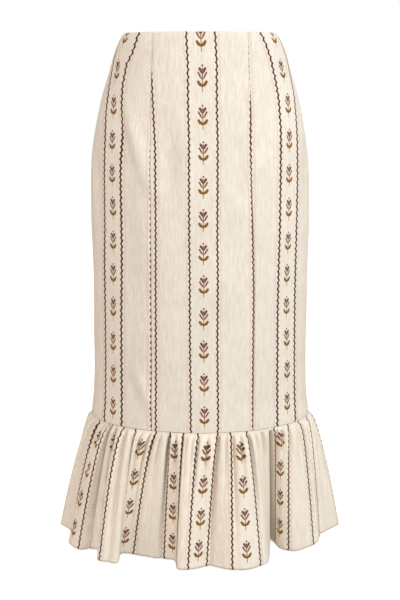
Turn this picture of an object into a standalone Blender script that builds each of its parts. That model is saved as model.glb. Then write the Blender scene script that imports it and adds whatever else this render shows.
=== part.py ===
"""Linen midi skirt: a fitted, princess-seamed body with a gathered flounce.

Metres, +Z up. The origin is at the centre of the waist's top edge, the front
faces -Y, and left and right are the wearer's, so the left is at +X. The skirt
is a hollow tube of cloth, filled out as when it is worn and open at both ends.
"""

from collections import namedtuple
import math

import bmesh
import bpy
import numpy as np

MM = 0.001
COLLECTION_NAME = "linen_skirt"
GUIDE_COLLECTION_NAME = "guides"

# Driving dimensions, in millimetres
BODY_LENGTH = 669.0
FLOUNCE_LENGTH = 226.0
WALL = 1.5
SEAM_GAP = 0.3
FLOUNCE_LEDGE = 1.0
FLOUNCE_STAND = 0.02
GATHERS = 76
GATHER_DEPTH = 3.4
GATHER_START = 0.35
GATHER_RISE = 0.12
GATHER_FADE = 0.34
FLARE_EXPONENT = 0.68
COLUMN_EASING = 9.0

# Zip at the centre back, in millimetres
TAPE_WIDTH = 12.0
TAPE_THICKNESS = 1.0
TAPE_TOP = 4.0
TAPE_LENGTH = 205.0
SLIDER_BELOW = 10.0
SLIDER_PLATE = (5.0, 1.4, 9.5)
RING_RADIUS = 2.2
RING_WIRE = 0.55
PULL_LENGTH = 26.0
PULL_WIDTH = 5.0
PULL_THICKNESS = 1.0
PULL_EYE = 0.9
PULL_EYE_WALL = 0.8
PULL_LEAN_DEG = 5.5

# Number of faces across each piece and down it, the body's pieces in their order
# from the centre back past the wearer's right side
BODY_PIECES = {
    "back_panel_right": 20,
    "front_side_panel_right": 14,
    "front_centre_panel": 14,
    "front_side_panel_left": 14,
    "back_panel_left": 20,
}
BODY_ROWS = (0, 14, 40, 80, 125, 185, 260, 360, 470, 570, 635, 660, 669)
GATHER_COLUMNS = 4
FLOUNCE_ROWS = (0.0, 0.02, 0.07, 0.16, 0.3, 0.48, 0.72, 1.0)
RING_SAMPLES = 1440

# The body's rings: millimetres below the waist, half width, depth in front of and
# behind the side seams, and the oval's exponent (2 is an ellipse, more is squarer)
Section = namedtuple("Section", "below half_width front back exponent")
SECTIONS = (
    Section(0, 130.0, 93, 88, 2.50),
    Section(12, 137.4, 95, 92, 2.40),
    Section(35, 147.2, 98, 98, 2.25),
    Section(60, 154.6, 101, 104, 2.10),
    Section(105, 168.4, 106, 113, 2.00),
    Section(145, 178.2, 111, 119, 1.95),
    Section(186, 186.2, 115, 124, 1.92),
    Section(227, 190.4, 118, 126, 1.92),
    Section(290, 192.3, 121, 126, 1.92),
    Section(398, 191.9, 124, 124, 1.94),
    Section(508, 191.8, 125, 123, 1.96),
    Section(598, 193.0, 125, 124, 1.98),
    Section(640, 196.0, 126, 126, 2.00),
    Section(660, 198.6, 127, 128, 2.02),
    Section(669, 199.0, 127, 128, 2.02),
)

# The princess seams: millimetres below the waist, and their distance across from
# the centre front on the wearer's right and left
Princess = namedtuple("Princess", "below right left")
PRINCESS_SEAMS = (
    Princess(0, 76, 78),
    Princess(60, 79, 80),
    Princess(120, 81, 84),
    Princess(190, 82, 84),
    Princess(400, 82.5, 92),
    Princess(669, 84, 92),
)

# The hem's folds, round from the wearer's right: where each ridge starts and ends
# and where the valley after it turns, across (+ is the wearer's left) and back
Fold = namedtuple("Fold", "start_across start_back end_across end_back valley_across valley_back")
HEM_FOLDS = (
    Fold(-264, 2, -247, -21, -234, -42),
    Fold(-239, -77, -207, -109, -188, -104),
    Fold(-176, -148, -144, -159, -138, -122),
    Fold(-104, -131, -72, -142, -47, -147),
    Fold(-37, -182, -12, -181, 16, -169),
    Fold(48, -182, 84, -182, 104, -170),
    Fold(117, -158, 122, -138, 131, -72),
    Fold(147, -106, 170, -113, 190, -101),
    Fold(201, -93, 213, -79, 223, -46),
    Fold(244, -22, 262, -3, 252, 30),
    Fold(250, 62, 222, 94, 196, 94),
    Fold(189, 128, 156, 152, 141, 124),
    Fold(116, 144, 86, 168, 64, 146),
    Fold(46, 178, 16, 187, -4, 160),
    Fold(-26, 184, -62, 180, -76, 146),
    Fold(-100, 166, -134, 158, -148, 122),
    Fold(-174, 140, -202, 114, -206, 84),
    Fold(-236, 78, -252, 50, -246, 24),
)

# Lines of the flounce's cloth that the print shows: where each leaves the seam and
# where it meets the hem, along them from the centre front
Column = namedtuple("Column", "seam_at hem_at")
FLOUNCE_COLUMNS = (
    Column(-198, -410),
    Column(-167, -308),
    Column(-139, -244),
    Column(-114, -188),
    Column(-77, -154),
    Column(-50, -93),
    Column(-29, -45),
    Column(-3, -22),
    Column(30, 10),
    Column(53, 61),
    Column(81, 112),
    Column(134, 235),
    Column(164, 267),
    Column(193, 327),
    Column(224, 360),
    Column(279, 453),
)

# Base colour, roughness and metallic value of each material
LINEN_SHADES = {
    "front_centre_panel": (0.87, 0.82, 0.73, 1.0),
    "front_side_panel": (0.86, 0.81, 0.72, 1.0),
    "back_panel": (0.85, 0.80, 0.71, 1.0),
    "flounce": (0.88, 0.83, 0.74, 1.0),
    "zip_tape": (0.84, 0.78, 0.68, 1.0),
}
LINEN_ROUGHNESS = 0.9
ZIP_COLOUR = (0.80, 0.74, 0.62, 1.0)
ZIP_ROUGHNESS = 0.4


def smooth(knots, values, where):
    """Smooth curve through a table's rows: cubic pieces with three-point slopes."""
    knots = np.asarray(knots, float)
    values = np.asarray(values, float)
    slopes = np.gradient(values, knots)
    piece = np.clip(np.searchsorted(knots, where, side="right") - 1, 0, len(knots) - 2)
    span = knots[piece + 1] - knots[piece]
    t = (where - knots[piece]) / span
    return (values[piece] * (2 * t**3 - 3 * t**2 + 1)
            + slopes[piece] * span * (t**3 - 2 * t**2 + t)
            + values[piece + 1] * (3 * t**2 - 2 * t**3)
            + slopes[piece + 1] * span * (t**3 - t**2))


def column_of(table, name):
    """One named column of a table as an array."""
    return np.array([getattr(row, name) for row in table], float)


def section_value(name, below):
    """A ring's size at that distance below the waist."""
    return smooth(column_of(SECTIONS, "below"), column_of(SECTIONS, name), below)


def body_ring(below):
    """Points round the body's outer face from the centre back past the wearer's right
    side and the centre front to the centre back, with the distance along the cloth from
    the centre front."""
    turn = np.linspace(-math.pi, math.pi, RING_SAMPLES + 1)
    power = 2.0 / float(section_value("exponent", below))
    across = np.sign(np.sin(turn)) * np.abs(np.sin(turn)) ** power
    back = -np.sign(np.cos(turn)) * np.abs(np.cos(turn)) ** power
    depth = np.where(back < 0, section_value("front", below), section_value("back", below))
    points = np.stack([across * section_value("half_width", below), back * depth], axis=1)
    steps = np.linalg.norm(np.diff(points, axis=0), axis=1)
    girth = np.concatenate([[0.0], np.cumsum(steps)])
    return points, girth - girth[RING_SAMPLES // 2]


def ring_points(ring, girth, where):
    """Points at those distances along a ring."""
    return np.stack([np.interp(where, girth, ring[:, 0]), np.interp(where, girth, ring[:, 1])], axis=-1)


def seam_places(below, ring, girth):
    """Distances along the cloth from the centre front to the body's seams, in order."""
    quarter = RING_SAMPLES // 4
    front = slice(quarter, 3 * quarter + 1)
    right, left = (smooth(column_of(PRINCESS_SEAMS, "below"), column_of(PRINCESS_SEAMS, side), below)
                   for side in ("right", "left"))
    princess_right, princess_left = np.interp([-right, left], ring[front, 0], girth[front])
    return [girth[0], girth[quarter], princess_right, princess_left, girth[-1 - quarter], girth[-1]]


def body_grid():
    """Outer points of the whole body, rows down and columns round it, the first column
    at the centre back."""
    rows = []
    for below in BODY_ROWS:
        ring, girth = body_ring(below)
        seams = seam_places(below, ring, girth)
        places = [np.linspace(start, end, columns, endpoint=False)
                  for start, end, columns in zip(seams, seams[1:], BODY_PIECES.values())]
        points = ring_points(ring, girth, np.concatenate(places))
        rows.append(np.column_stack([points, np.full(len(points), -float(below))]))
    return np.array(rows)


def cut_piece(grid, first, last):
    """Piece of a round grid between two columns. The cloth runs straight across a seam,
    and each edge stands half a seam gap back from it."""
    columns = np.arange(first, last + 1) % grid.shape[1]
    piece = grid[:, columns].copy()
    for end, inner in ((0, 1), (-1, -2)):
        before = grid[:, columns[end] - 1]
        chord = grid[:, (columns[end] + 1) % grid.shape[1]] - before
        share = np.sum((piece[:, end] - before) * chord, axis=1) / np.sum(chord**2, axis=1)
        seam = before + chord * share[:, None]
        inward = piece[:, inner] - seam
        inward /= np.linalg.norm(inward, axis=1)[:, None]
        piece[:, end] = seam + inward * SEAM_GAP / 2
    return piece


def body_pieces():
    """Outer points of each body piece by name."""
    grid = body_grid()
    first = 0
    pieces = {}
    for name, columns in BODY_PIECES.items():
        pieces[name] = cut_piece(grid, first, first + columns)
        first += columns
    return pieces


def closed_curve(points, samples):
    """Round closed curve through points, each piece's ends sloped along its neighbours."""
    points = np.asarray(points, float)
    after = np.roll(points, -1, axis=0)
    length = np.linalg.norm(after - points, axis=1)[:, None]
    before_length = np.roll(length, 1, axis=0)
    slope_after = (after - points) / length
    slope_before = np.roll(slope_after, 1, axis=0)
    tangent = (slope_after * before_length + slope_before * length) / (length + before_length)
    t = np.linspace(0.0, 1.0, samples, endpoint=False)[:, None]
    pieces = []
    for i in range(len(points)):
        j = (i + 1) % len(points)
        pieces.append(points[i] * (2 * t**3 - 3 * t**2 + 1)
                      + tangent[i] * length[i] * (t**3 - 2 * t**2 + t)
                      + points[j] * (3 * t**2 - 2 * t**3)
                      + tangent[j] * length[i] * (t**3 - t**2))
    return np.concatenate(pieces)


def hem_ring():
    """Points round the hem, from the wearer's right side over the front, with the
    distance along it from the centre front."""
    turns = []
    for fold in HEM_FOLDS:
        turns += [(fold.start_across, fold.start_back), (fold.end_across, fold.end_back),
                  (fold.valley_across, fold.valley_back)]
    ring = closed_curve(turns, samples=24)
    ring = np.concatenate([ring, ring[:1]])
    girth = np.concatenate([[0.0], np.cumsum(np.linalg.norm(np.diff(ring, axis=0), axis=1))])
    in_front = np.where(ring[:, 1] < 0)[0]
    centre = in_front[np.argmin(np.abs(ring[in_front, 0]))]
    return ring, girth - girth[centre], girth[-1]


def hem_positions(seam_at, seam_length, hem_length):
    """Where each place along the seam falls along the hem: the columns' rows in front
    and evenly spread cloth behind, averaged over a short way to both sides."""
    seam_knots = column_of(FLOUNCE_COLUMNS, "seam_at")
    hem_knots = column_of(FLOUNCE_COLUMNS, "hem_at")
    seam_knots = np.concatenate([seam_knots, seam_knots[:1] + seam_length])
    hem_knots = np.concatenate([hem_knots, hem_knots[:1] + hem_length])
    near = seam_at[:, None] + np.linspace(-COLUMN_EASING, COLUMN_EASING, 7)
    turns = np.floor((near - seam_knots[0]) / seam_length)
    inside = near - turns * seam_length
    return (np.interp(inside, seam_knots, hem_knots) + turns * hem_length).mean(axis=1)


def gather_wave(place):
    """Height of the gathers, from -1 to 1, and how far down each one runs, by its place
    counted in gathers. Slow sine waves make neighbours unlike."""
    size = 1.0 + 0.22 * np.sin(place * 0.91) + 0.18 * np.sin(place * 2.23 + 1.0)
    reach = 1.0 + 0.45 * np.sin(place * 1.37 + 0.6) + 0.3 * np.sin(place * 0.53 + 2.0)
    return size * np.cos(2 * math.pi * place), reach


def flounce_grid():
    """Outer points of the whole flounce, rows down and columns round it, the first
    column at the centre front."""
    seam, seam_girth = body_ring(BODY_LENGTH)
    seam_length = seam_girth[-1] - seam_girth[0]
    hem, hem_girth, hem_length = hem_ring()
    place = np.arange(GATHERS * GATHER_COLUMNS) / GATHER_COLUMNS
    seam_at = place / GATHERS * seam_length

    def on_seam(where):
        return ring_points(seam, seam_girth, (where - seam_girth[0]) % seam_length + seam_girth[0])

    top = on_seam(seam_at)
    along = on_seam(seam_at + 1.0) - on_seam(seam_at - 1.0)
    along /= np.linalg.norm(along, axis=1)[:, None]
    outward = np.stack([along[:, 1], -along[:, 0]], axis=1)
    hem_at = hem_positions(seam_at, seam_length, hem_length)
    bottom = ring_points(hem, hem_girth, (hem_at - hem_girth[0]) % hem_length + hem_girth[0])
    wave, reach = gather_wave(place)
    rows = []
    for down in FLOUNCE_ROWS:
        fall = max(0.0, down - FLOUNCE_STAND) / (1.0 - FLOUNCE_STAND)
        rise = min(1.0, GATHER_START + fall / GATHER_RISE)
        fade = np.exp(-((fall / (GATHER_FADE * reach)) ** 2))
        push = GATHER_DEPTH * rise * fade * wave + FLOUNCE_LEDGE * (1.0 - fall)
        points = top + (bottom - top) * fall**FLARE_EXPONENT + outward * push[:, None]
        below = BODY_LENGTH + SEAM_GAP + down * (FLOUNCE_LENGTH - SEAM_GAP)
        rows.append(np.column_stack([points, np.full(len(points), -below)]))
    return np.array(rows)


def moved(grid, distance):
    """A grid's points moved along its outward normals."""
    down = np.gradient(grid, axis=0)
    across = np.gradient(grid, axis=1)
    normal = np.cross(down, across)
    normal /= np.linalg.norm(normal, axis=2)[:, :, None]
    return grid + normal * distance


def tape_grid(panel, side):
    """Outer points of one half of the zip's tape, laid inside its back panel's face."""
    edge, beside = (panel[:, 0], panel[:, 1]) if side == "right" else (panel[:, -1], panel[:, -2])
    inner = edge + (beside - edge) * TAPE_WIDTH / np.linalg.norm(beside - edge, axis=1)[:, None]
    foot = TAPE_TOP + TAPE_LENGTH
    stops = [TAPE_TOP, *(stop for stop in BODY_ROWS if TAPE_TOP < stop < foot), foot]
    sides = (edge, inner) if side == "right" else (inner, edge)
    grid = np.array([[[np.interp(stop, BODY_ROWS, line[:, axis]) for axis in range(3)] for line in sides]
                     for stop in stops])
    return moved(grid, -(WALL + SEAM_GAP))


def make_material(name, colour, roughness, metallic=0.0):
    """Principled material of one sub-part."""
    material = bpy.data.materials.new(name)
    material.use_nodes = True
    shader = material.node_tree.nodes["Principled BSDF"]
    shader.inputs["Base Color"].default_value = colour
    shader.inputs["Roughness"].default_value = roughness
    shader.inputs["Metallic"].default_value = metallic
    return material


def add_object(name, mesh, material, collection):
    """Object of a mesh, with its material, in a collection."""
    mesh.materials.append(material)
    item = bpy.data.objects.new(name, mesh)
    collection.objects.link(item)
    return item


def loft_mesh(name, grid):
    """Open surface through a grid's rows, its faces towards the outside."""
    rows, columns = grid.shape[:2]
    faces = []
    for row in range(rows - 1):
        for column in range(columns - 1):
            corner = row * columns + column
            faces.append((corner, corner + columns, corner + columns + 1, corner + 1))
    mesh = bpy.data.meshes.new(name)
    mesh.from_pydata((grid.reshape(-1, 3) * MM).tolist(), [], faces)
    mesh.shade_smooth()
    return mesh


def add_cloth(name, grid, thickness, shade, collection):
    """Cloth piece: the open outer surface with a wall built inward."""
    material = make_material(f"{name}_linen", LINEN_SHADES[shade], LINEN_ROUGHNESS)
    cloth = add_object(name, loft_mesh(name, grid), material, collection)
    wall = cloth.modifiers.new("wall", "SOLIDIFY")
    wall.thickness = thickness * MM
    wall.offset = -1.0
    wall.use_even_offset = True
    return cloth


def slider_frame():
    """Empty on the cloth at the centre back, turned so that its Y points straight out."""
    step = 6.0
    back = float(section_value("back", SLIDER_BELOW))
    lower = float(section_value("back", SLIDER_BELOW + step))
    frame = bpy.data.objects.new("zip_frame", None)
    frame.location = (0.0, back * MM, -SLIDER_BELOW * MM)
    frame.rotation_euler = (math.atan2(lower - back, step), 0.0, 0.0)
    return frame


def add_slider(collection, guides, frame, material):
    """Slider: a plate on the seam with a wire ring standing out of it."""
    width, depth, height = (size * MM for size in SLIDER_PLATE)
    mesh = bpy.data.meshes.new("zip_slider")
    shape = bmesh.new()
    bmesh.ops.create_cube(shape, size=1.0)
    bmesh.ops.scale(shape, vec=(width, depth, height), verts=shape.verts)
    shape.to_mesh(mesh)
    shape.free()
    slider = add_object("zip_slider", mesh, material, collection)
    slider.parent = frame
    slider.location.y = SEAM_GAP * MM + depth / 2
    soft = slider.modifiers.new("soft_edges", "BEVEL")
    soft.width = 0.3 * MM
    soft.segments = 2

    bpy.ops.mesh.primitive_torus_add(major_radius=RING_RADIUS * MM, minor_radius=RING_WIRE * MM,
                                     major_segments=24, minor_segments=8)
    ring = bpy.context.active_object
    ring.name = "slider_ring_guide"
    for owner in list(ring.users_collection):
        owner.objects.unlink(ring)
    guides.objects.link(ring)
    ring.parent = frame
    ring.location = (0.0, ring_centre() * MM, 0.0)
    ring.rotation_euler = (0.0, math.pi / 2, 0.0)
    ring.hide_render = True
    ring.display_type = "WIRE"
    union = slider.modifiers.new("ring", "BOOLEAN")
    union.operation = "UNION"
    union.object = ring
    return slider


def ring_centre():
    """Height of the slider's ring centre above the cloth."""
    return SEAM_GAP + SLIDER_PLATE[1] + RING_RADIUS


def add_pull(collection, frame, material):
    """Pull tab: a flat drop with an eye round the ring's wire, hanging along the cloth.
    Its origin is on the ring's axis, so it swings along the ring."""
    top = RING_RADIUS - PULL_EYE - PULL_EYE_WALL
    neck = PULL_EYE + PULL_EYE_WALL
    outline = bpy.data.curves.new("zip_pull_outline", "CURVE")
    outline.dimensions = "2D"
    outline.fill_mode = "BOTH"
    outline.extrude = PULL_THICKNESS / 2 * MM

    def closed_spline(points):
        spline = outline.splines.new("POLY")
        spline.points.add(len(points) - 1)
        for spot, (across, down) in zip(spline.points, points):
            spot.co = (across * MM, -down * MM, 0.0, 1.0)
        spline.use_cyclic_u = True

    foot = top + PULL_LENGTH - PULL_WIDTH / 2
    crown = [(neck * math.sin(a), RING_RADIUS - neck * math.cos(a))
             for a in np.radians(np.linspace(-90, 90, 9))]
    sole = [(PULL_WIDTH / 2 * math.cos(a), foot + PULL_WIDTH / 2 * math.sin(a))
            for a in np.radians(np.linspace(0, 180, 11))]
    closed_spline(crown + sole)
    closed_spline([(PULL_EYE * math.sin(a), RING_RADIUS - PULL_EYE * math.cos(a))
                   for a in np.radians(np.linspace(0, 360, 16, endpoint=False))])

    drawn = bpy.data.objects.new("zip_pull_drawn", outline)
    bpy.context.scene.collection.objects.link(drawn)
    bpy.context.view_layer.update()
    mesh = bpy.data.meshes.new_from_object(drawn.evaluated_get(bpy.context.evaluated_depsgraph_get()))
    bpy.data.objects.remove(drawn)
    welded = bmesh.new()
    welded.from_mesh(mesh)
    bmesh.ops.remove_doubles(welded, verts=welded.verts, dist=0.01 * MM)
    bmesh.ops.recalc_face_normals(welded, faces=welded.faces)
    welded.to_mesh(mesh)
    welded.free()
    pull = add_object("zip_pull", mesh, material, collection)
    pull.parent = frame
    pull.location = (0.0, ring_centre() * MM, 0.0)
    pull.rotation_euler = (math.pi / 2 - math.radians(PULL_LEAN_DEG), 0.0, 0.0)
    return pull


def add_body(collection):
    """The five panels of the body, which it returns by name."""
    pieces = body_pieces()
    for name, grid in pieces.items():
        shade = name.removesuffix("_right").removesuffix("_left")
        add_cloth(name, grid, WALL, shade, collection)
    return pieces


def add_flounce(collection):
    """The flounce's front and back pieces, joined halfway down a gather at each side."""
    grid = flounce_grid()
    half = GATHERS * GATHER_COLUMNS // 2
    side = half // 2 + 1
    add_cloth("flounce_front", cut_piece(grid, side - half, side), WALL, "flounce", collection)
    add_cloth("flounce_back", cut_piece(grid, side, side + half), WALL, "flounce", collection)


def add_zip(pieces, collection, guides):
    """The concealed zip: two tapes inside, and the slider and its pull tab outside."""
    for side in ("right", "left"):
        grid = tape_grid(pieces[f"back_panel_{side}"], side)
        add_cloth(f"zip_tape_{side}", grid, TAPE_THICKNESS, "zip_tape", collection)
    frame = slider_frame()
    collection.objects.link(frame)
    add_slider(collection, guides, frame, make_material("zip_slider_metal", ZIP_COLOUR, ZIP_ROUGHNESS, 1.0))
    add_pull(collection, frame, make_material("zip_pull_metal", ZIP_COLOUR, ZIP_ROUGHNESS, 1.0))


def main():
    """Clears the scene and models the skirt."""
    for item in list(bpy.data.objects):
        bpy.data.objects.remove(item, do_unlink=True)
    collection = bpy.data.collections.new(COLLECTION_NAME)
    guides = bpy.data.collections.new(GUIDE_COLLECTION_NAME)
    bpy.context.scene.collection.children.link(collection)
    bpy.context.scene.collection.children.link(guides)
    pieces = add_body(collection)
    add_flounce(collection)
    add_zip(pieces, collection, guides)


main()
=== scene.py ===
"""Linen skirt: printed, crinkled cloth on its panels and gathered flounce, with its zip.

Metres in the scene, +Z up, the waist's centre at the origin and the front towards -Y.
Left and right are the wearer's, so the left is at +X. Sizes below are in millimetres.
The cloth's form repeats the frame's own sizes, worked out finely and with its creases.
"""

from dataclasses import dataclass
from enum import Enum
import logging
import math
from typing import Any, NamedTuple

import bpy
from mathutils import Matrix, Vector
import numpy as np

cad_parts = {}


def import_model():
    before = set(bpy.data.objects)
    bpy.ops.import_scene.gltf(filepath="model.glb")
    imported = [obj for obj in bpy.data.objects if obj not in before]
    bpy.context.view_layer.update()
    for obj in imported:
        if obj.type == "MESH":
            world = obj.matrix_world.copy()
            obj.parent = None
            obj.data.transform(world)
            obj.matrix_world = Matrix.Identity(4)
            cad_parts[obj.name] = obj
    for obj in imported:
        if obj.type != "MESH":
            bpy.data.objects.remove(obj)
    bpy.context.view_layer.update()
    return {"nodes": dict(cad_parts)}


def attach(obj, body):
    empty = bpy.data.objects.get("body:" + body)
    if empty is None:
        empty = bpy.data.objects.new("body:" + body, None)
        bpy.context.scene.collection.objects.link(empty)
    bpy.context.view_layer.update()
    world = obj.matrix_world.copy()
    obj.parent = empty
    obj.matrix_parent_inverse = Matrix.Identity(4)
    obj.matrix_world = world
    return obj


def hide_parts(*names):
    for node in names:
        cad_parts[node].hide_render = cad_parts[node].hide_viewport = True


LOG = logging.getLogger("linen_skirt")
MM = 0.001
Array = np.ndarray

BODY_LENGTH = 669.0
FLOUNCE_LENGTH = 226.0
SEAM_GAP = 0.3
CLOTH_WALL = 1.1
FULL_TURN = 2 * math.pi


class Side(Enum):
    """Side of the skirt as its wearer has it, with its sign along X."""

    RIGHT = -1
    LEFT = 1


class ClothFace(Enum):
    """Face of the linen, with the strength of the print on it."""

    OUTSIDE = 1.0
    INSIDE = 0.38


class Section(NamedTuple):
    """Plan of the body at a distance below the waist."""

    below: float
    half_width: float
    front: float
    back: float
    exponent: float


class Princess(NamedTuple):
    """Distances across from the centre front to the two front seams."""

    below: float
    right: float
    left: float


class Fold(NamedTuple):
    """Hem fold: where its ridge starts and ends and where the next valley turns."""

    start_across: float
    start_back: float
    end_across: float
    end_back: float
    valley_across: float
    valley_back: float


class Column(NamedTuple):
    """Where a line of the flounce's cloth leaves the seam and meets the hem."""

    seam_at: float
    hem_at: float


class Crease(NamedTuple):
    """Soft trough (height below nought) or ridge: middle, half length and half width,
    height, and how far it moves across for each millimetre down."""

    at: float
    below: float
    half_length: float
    half_width: float
    height: float
    lean: float


class Gather(NamedTuple):
    """Pinched valley under the flounce's seam: place along the seam from the centre
    front, depth, and how much of the flounce's height it runs down."""

    at: float
    depth: float
    reach: float


class Band(NamedTuple):
    """One printed band on the flounce: places along the seam of its two waves and of the
    sprigs between them, how much higher its sprigs lie, and the share of a sprig's width
    that isn't folded away."""

    left_wave: float
    sprig: float
    right_wave: float
    lift: float
    shown: float


class Stroke(NamedTuple):
    """Straight stroke of the printed sprig: ends across from its axis and down from
    its top, and the radius at each end."""

    x0: float
    y0: float
    x1: float
    y1: float
    r0: float
    r1: float


class Ink(NamedTuple):
    """Strokes of the sprig's half in one colour, and the strength of the faint halo of
    ink round them."""

    colour: tuple[float, ...]
    halo: float
    strokes: tuple[Stroke, ...]


SECTIONS = tuple(Section(*row) for row in (
    (0, 130.0, 93, 88, 2.50), (12, 137.4, 95, 92, 2.40), (35, 147.2, 98, 98, 2.25),
    (60, 154.6, 101, 104, 2.10), (105, 168.4, 106, 113, 2.00), (145, 178.2, 111, 119, 1.95),
    (186, 186.2, 115, 124, 1.92), (227, 190.4, 118, 126, 1.92), (290, 192.3, 121, 126, 1.92),
    (398, 191.9, 124, 124, 1.94), (508, 191.8, 125, 123, 1.96), (598, 193.0, 125, 124, 1.98),
    (640, 196.0, 126, 126, 2.00), (660, 198.6, 127, 128, 2.02), (669, 199.0, 127, 128, 2.02),
))

PRINCESS_SEAMS = tuple(Princess(*row) for row in (
    (0, 76, 78), (60, 79, 80), (120, 81, 84), (190, 82, 84), (400, 82.5, 92), (669, 84, 92),
))

HEM_FOLDS = tuple(Fold(*row) for row in (
    (-264, 2, -247, -21, -234, -42), (-239, -77, -207, -109, -188, -104),
    (-176, -148, -144, -159, -138, -122), (-104, -131, -72, -142, -47, -147),
    (-37, -182, -12, -181, 16, -169), (48, -182, 84, -182, 104, -170), (117, -158, 122, -138, 131, -72),
    (147, -106, 170, -113, 190, -101), (201, -93, 213, -79, 223, -46), (244, -22, 262, -3, 252, 30),
    (250, 62, 222, 94, 196, 94), (189, 128, 156, 152, 141, 124), (116, 144, 86, 168, 64, 146),
    (46, 178, 16, 187, -4, 160), (-26, 184, -62, 180, -76, 146), (-100, 166, -134, 158, -148, 122),
    (-174, 140, -202, 114, -206, 84), (-236, 78, -252, 50, -246, 24),
))

FLOUNCE_COLUMNS = tuple(Column(*row) for row in (
    (-198, -410), (-167, -308), (-139, -244), (-114, -188), (-77, -154), (-50, -93), (-29, -45), (-3, -22),
    (30, 10), (53, 61), (81, 112), (134, 235), (164, 267), (193, 327), (224, 360), (279, 453),
))

# Creases of the body's cloth by their place along it from the centre front. The ones
# behind are like those in front, at places and in sizes of their own.
BODY_CREASES = tuple(Crease(*row) for row in (
    (-107, 186, 92, 14, 5.9, 0.27), (-131, 178, 80, 11, -4.5, 0.27), (-50, 205, 84, 17, -5.9, -0.05),
    (-20, 230, 96, 15, 2.7, -0.06), (66, 214, 88, 15, -6.0, 0.03), (107, 176, 42, 9, -2.9, -0.20),
    (55, 345, 92, 19, -3.4, 0.06), (-124, 345, 120, 20, -3.4, 0.05), (-96, 606, 52, 11, 3.4, 0.30),
    (-122, 596, 44, 9, -2.7, 0.28), (150, 430, 130, 24, -2.5, -0.04), (24, 520, 120, 26, -2.2, 0.02),
    (-200, 250, 120, 16, -3.8, 0.10), (212, 230, 110, 17, -3.8, -0.09), (262, 170, 60, 11, 3.1, -0.14),
    (-258, 392, 130, 20, -3.1, 0.04), (300, 246, 96, 14, -5.2, -0.20), (-318, 228, 88, 15, -4.9, 0.24),
    (372, 198, 72, 16, -4.5, -0.12), (-396, 214, 84, 13, -4.8, 0.10), (344, 420, 140, 22, -3.4, 0.05),
    (-352, 450, 120, 24, -3.6, -0.05), (430, 330, 110, 18, -3.4, -0.06), (-440, 360, 120, 19, -3.1, 0.06),
    (404, 590, 60, 13, 2.9, -0.16), (-300, 600, 56, 12, 2.9, 0.18),
))

FRONT_GATHERS = tuple(Gather(*row) for row in (
    (-246, 8.7, 0.69), (-229, 4.8, 0.26), (-211, 10.7, 0.62), (-196, 5.7, 0.26), (-182, 8.7, 0.35),
    (-166, 24.0, 1.10), (-154, 19.0, 1.00), (-131, 13.0, 0.95), (-115, 10.0, 0.45), (-101, 6.8, 0.28),
    (-85, 10.7, 0.43), (-76, 6.8, 0.21), (-66, 6.8, 0.31), (-52, 21.0, 0.85), (-41, 6.8, 0.28),
    (-28, 15.0, 0.80), (-21, 7.8, 0.28), (-11, 4.8, 0.18), (-1, 7.8, 0.33), (16, 7.3, 0.31),
    (34, 15.0, 0.85), (46, 5.5, 0.28), (58, 14.0, 0.62), (70, 9.8, 0.33), (84, 12.0, 0.55), (97, 4.8, 0.18),
    (109, 9.2, 0.25), (127, 26.0, 1.20), (140, 7.8, 0.38), (154, 5.5, 0.21), (168, 6.8, 0.28),
    (185, 5.7, 0.25), (202, 14.0, 0.80), (217, 5.7, 0.28), (232, 16.0, 1.00), (247, 7.8, 0.53),
))

# One run of gathers for the back, repeated round it: step from the last, depth, reach
BACK_GATHER_RUN = tuple(Gather(*row) for row in (
    (13, 12.2, 0.60), (17, 5.6, 0.21), (10, 9.1, 0.38), (15, 4.9, 0.17), (19, 13.7, 0.80), (9, 6.1, 0.25),
    (14, 8.4, 0.30), (12, 11.4, 0.52), (18, 5.2, 0.20), (11, 10.2, 0.42), (16, 6.1, 0.20),
))

FLOUNCE_BANDS = tuple(Band(*row) for row in (
    (-198, -179, -171.5, 0, 1), (-164.5, -151, -139, 0, 1), (-114, -95, -77, 0, 1), (-50, -43, -29, 0, 1),
    (-3, 15, 30, 0, 1), (53, 67, 81, 0, 1), (134, 148, 164, 8, 1), (193, 209, 224, 0, 0.02),
))

# The print's places on the three front panels: distance below the waist against the
# distance along the cloth from the centre front
CENTRE_SPRIGS = ((0, 0.9), (52, 3.7), (116, 4.0), (174, 5.5), (340, 5.5), (393, 6.3), (505, 6.3), (627, 7.5))
CENTRE_RIGHT_WAVE = ((0, -86), (80, -80), (115, -78), (185, -74.8), (300, -74.5), (460, -75.7), (655, -77))
CENTRE_LEFT_WAVE = ((0, 90), (95, 86.0), (110, 84.5), (160, 84.5), (300, 88.5), (430, 92.3), (669, 93.0))
RIGHT_SPRIGS = ((0, -132), (15, -138), (42, -150), (100, -156.4), (190, -157.4), (300, -156), (381, -158.9),
                (439, -160), (530, -161.5), (619, -162.9))
RIGHT_INNER_WAVE = ((0, -103.3), (32, -115.3), (52, -128.9), (84, -136.5), (124, -137.5), (166, -137.7),
                    (443, -141.8), (669, -143.5))
RIGHT_OUTER_WAVE = ((0, -158), (52, -170), (126, -176), (176, -175), (449, -181.2), (669, -184))
RIGHT_HALF_WAVE = ((0, -72), (120, -77), (195, -81.6), (300, -82.4), (437, -83.2), (631, -84.6))
LEFT_SPRIGS = ((0, 131), (15, 136), (42, 145.3), (98, 159.2), (156, 161.3), (214, 160.1), (300, 161.5),
               (411, 160.5), (495, 161.5), (553, 163.7), (611, 164.3))
LEFT_INNER_WAVE = ((0, 102.4), (22, 113.9), (44, 123.5), (74, 131.9), (108, 138.2), (158, 142), (443, 141.3))
LEFT_OUTER_WAVE = ((0, 158), (8, 160.5), (52, 177.1), (92, 180.6), (449, 180.6), (669, 184))
LEFT_HALF_WAVE = ((0, 76), (150, 84), (443, 88), (669, 90))
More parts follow.
